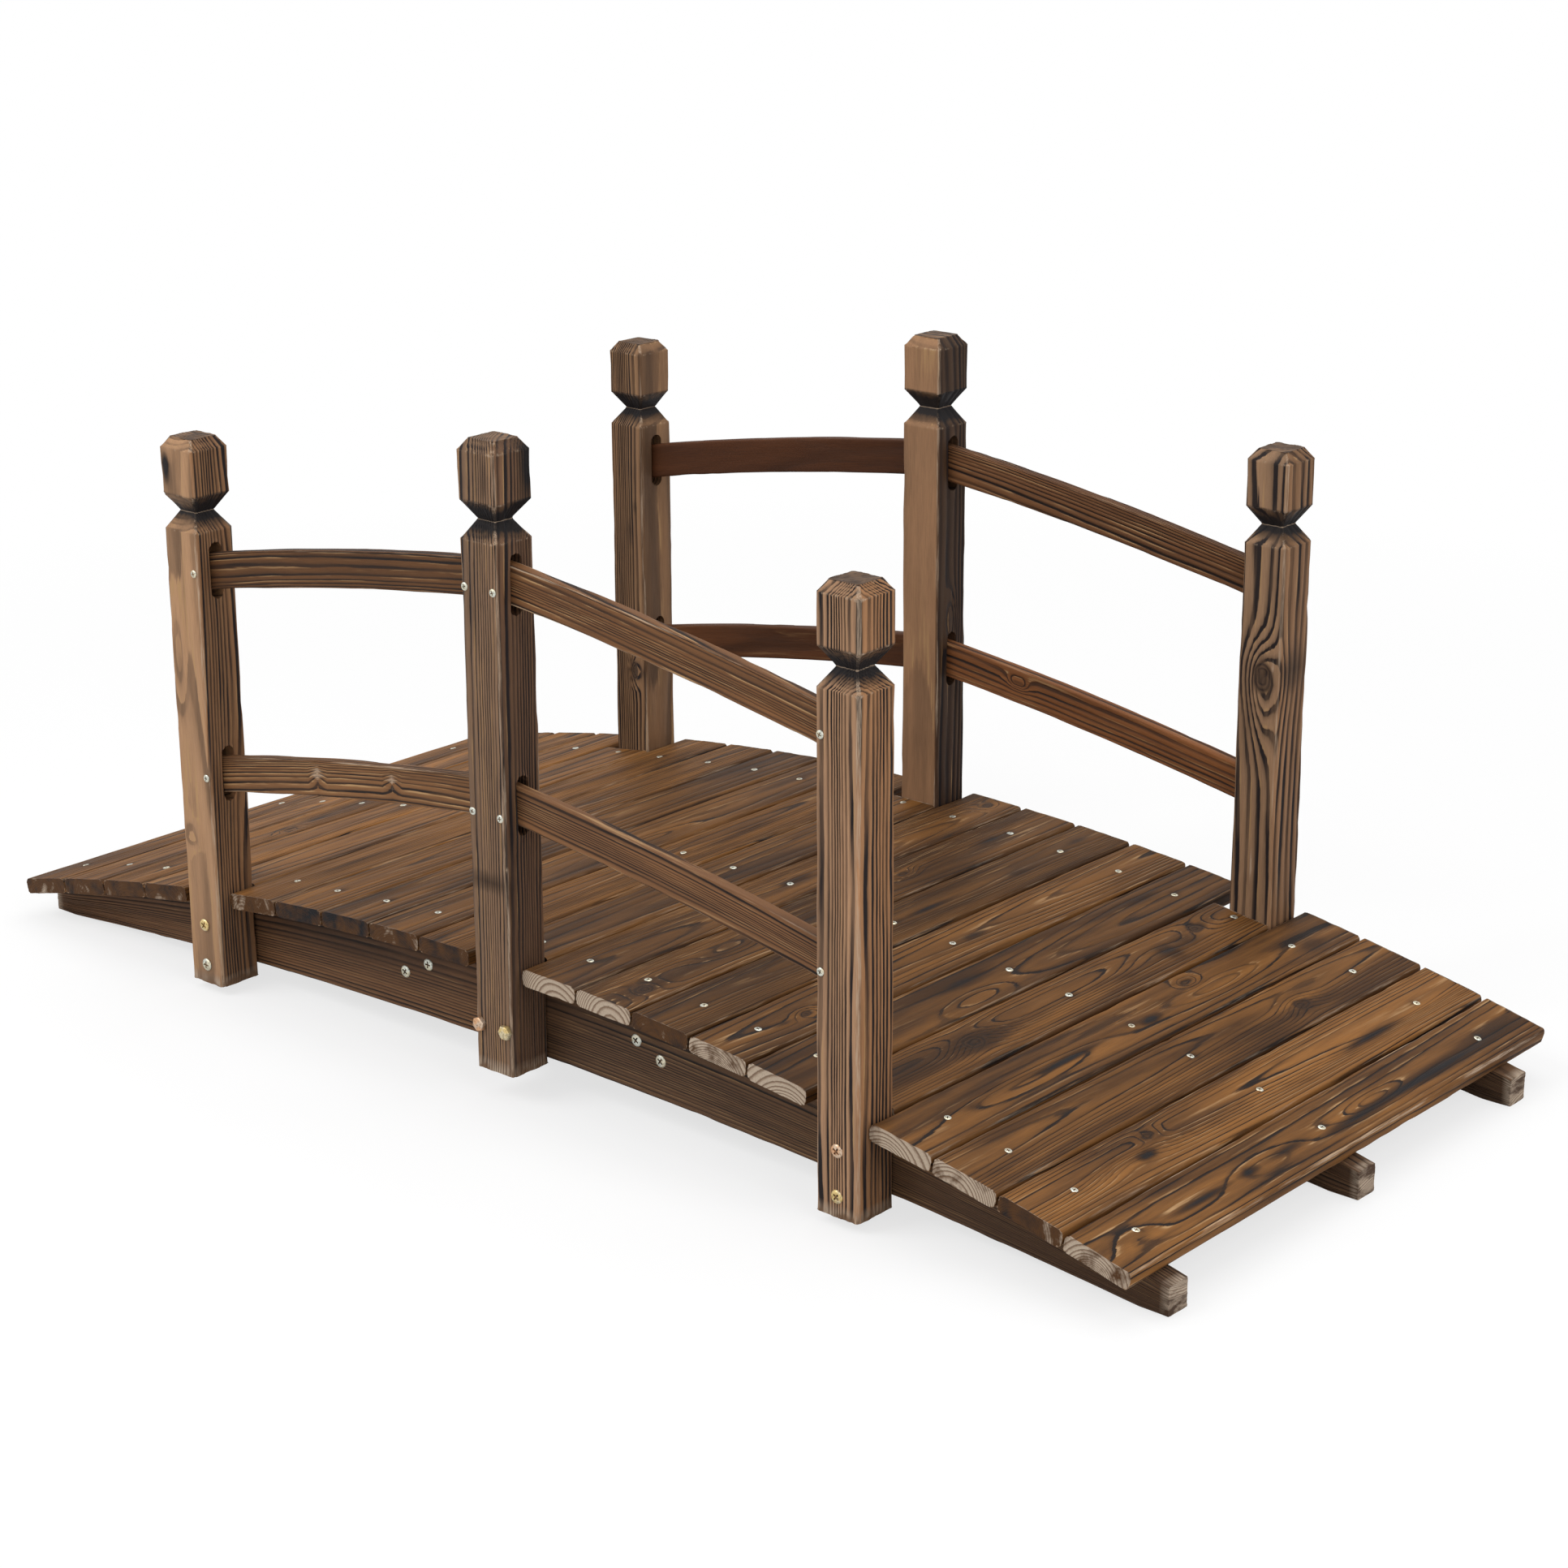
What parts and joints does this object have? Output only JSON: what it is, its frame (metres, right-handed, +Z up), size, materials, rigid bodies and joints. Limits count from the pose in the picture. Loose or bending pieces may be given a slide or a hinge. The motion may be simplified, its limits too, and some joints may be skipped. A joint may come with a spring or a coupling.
{
  "type": "arched garden footbridge",
  "caption": "Arched wooden garden footbridge: cross-plank deck on curved stringers, square posts with notched necks, and gently arched hand rails.",
  "frame": {"origin": "on the floor, midway between the front and back middle posts; the outline's own centre lies about 5 mm from it, because the planks reach further past the back stringer", "axes": "+X along the bridge to its right end as seen from the front, +Y across to the back side, +Z up"},
  "size_m": [1.505, 0.704, 0.647],
  "materials": {
    "deck_fir": "charred and brushed fir, dark winter rings, pale end grain",
    "post_fir": "charred and brushed fir, nearly black at the neck",
    "rail_fir": "charred and brushed fir with worn upper edges",
    "frame_fir": "charred and brushed fir, dull",
    "zinc_steel": "zinc plated screws and bolts, some yellow passivated"
  },
  "bodies": {
    "root": {"brace_back_left": "frame_fir", "brace_back_right": "frame_fir", "brace_front_left": "frame_fir", "brace_front_right": "frame_fir", "plank_01": "deck_fir", "plank_02": "deck_fir", "plank_03": "deck_fir", "plank_04": "deck_fir", "plank_05": "deck_fir", "plank_06": "deck_fir", "plank_07": "deck_fir", "plank_08": "deck_fir", "plank_09": "deck_fir", "plank_10": "deck_fir", "plank_11": "deck_fir", "plank_12": "deck_fir", "plank_13": "deck_fir", "plank_14": "deck_fir", "plank_15": "deck_fir", "plank_16": "deck_fir", "plank_17": "deck_fir", "plank_18": "deck_fir", "plank_19": "deck_fir", "plank_20": "deck_fir", "plank_21": "deck_fir", "post_back_left": "post_fir", "post_back_middle": "post_fir", "post_back_right": "post_fir", "post_front_left": "post_fir", "post_front_middle": "post_fir", "post_front_right": "post_fir", "rail_back_left_lower": "rail_fir", "rail_back_left_upper": "rail_fir", "rail_back_right_lower": "rail_fir", "rail_back_right_upper": "rail_fir", "rail_front_left_lower": "rail_fir", "rail_front_left_upper": "rail_fir", "rail_front_right_lower": "rail_fir", "rail_front_right_upper": "rail_fir", "splice_block": "frame_fir", "stringer_back_left": "frame_fir", "stringer_back_right": "frame_fir", "stringer_front_left": "frame_fir", "stringer_front_right": "frame_fir", "stringer_middle_left": "frame_fir", "stringer_middle_right": "frame_fir"}
  },
  "joints": []
}
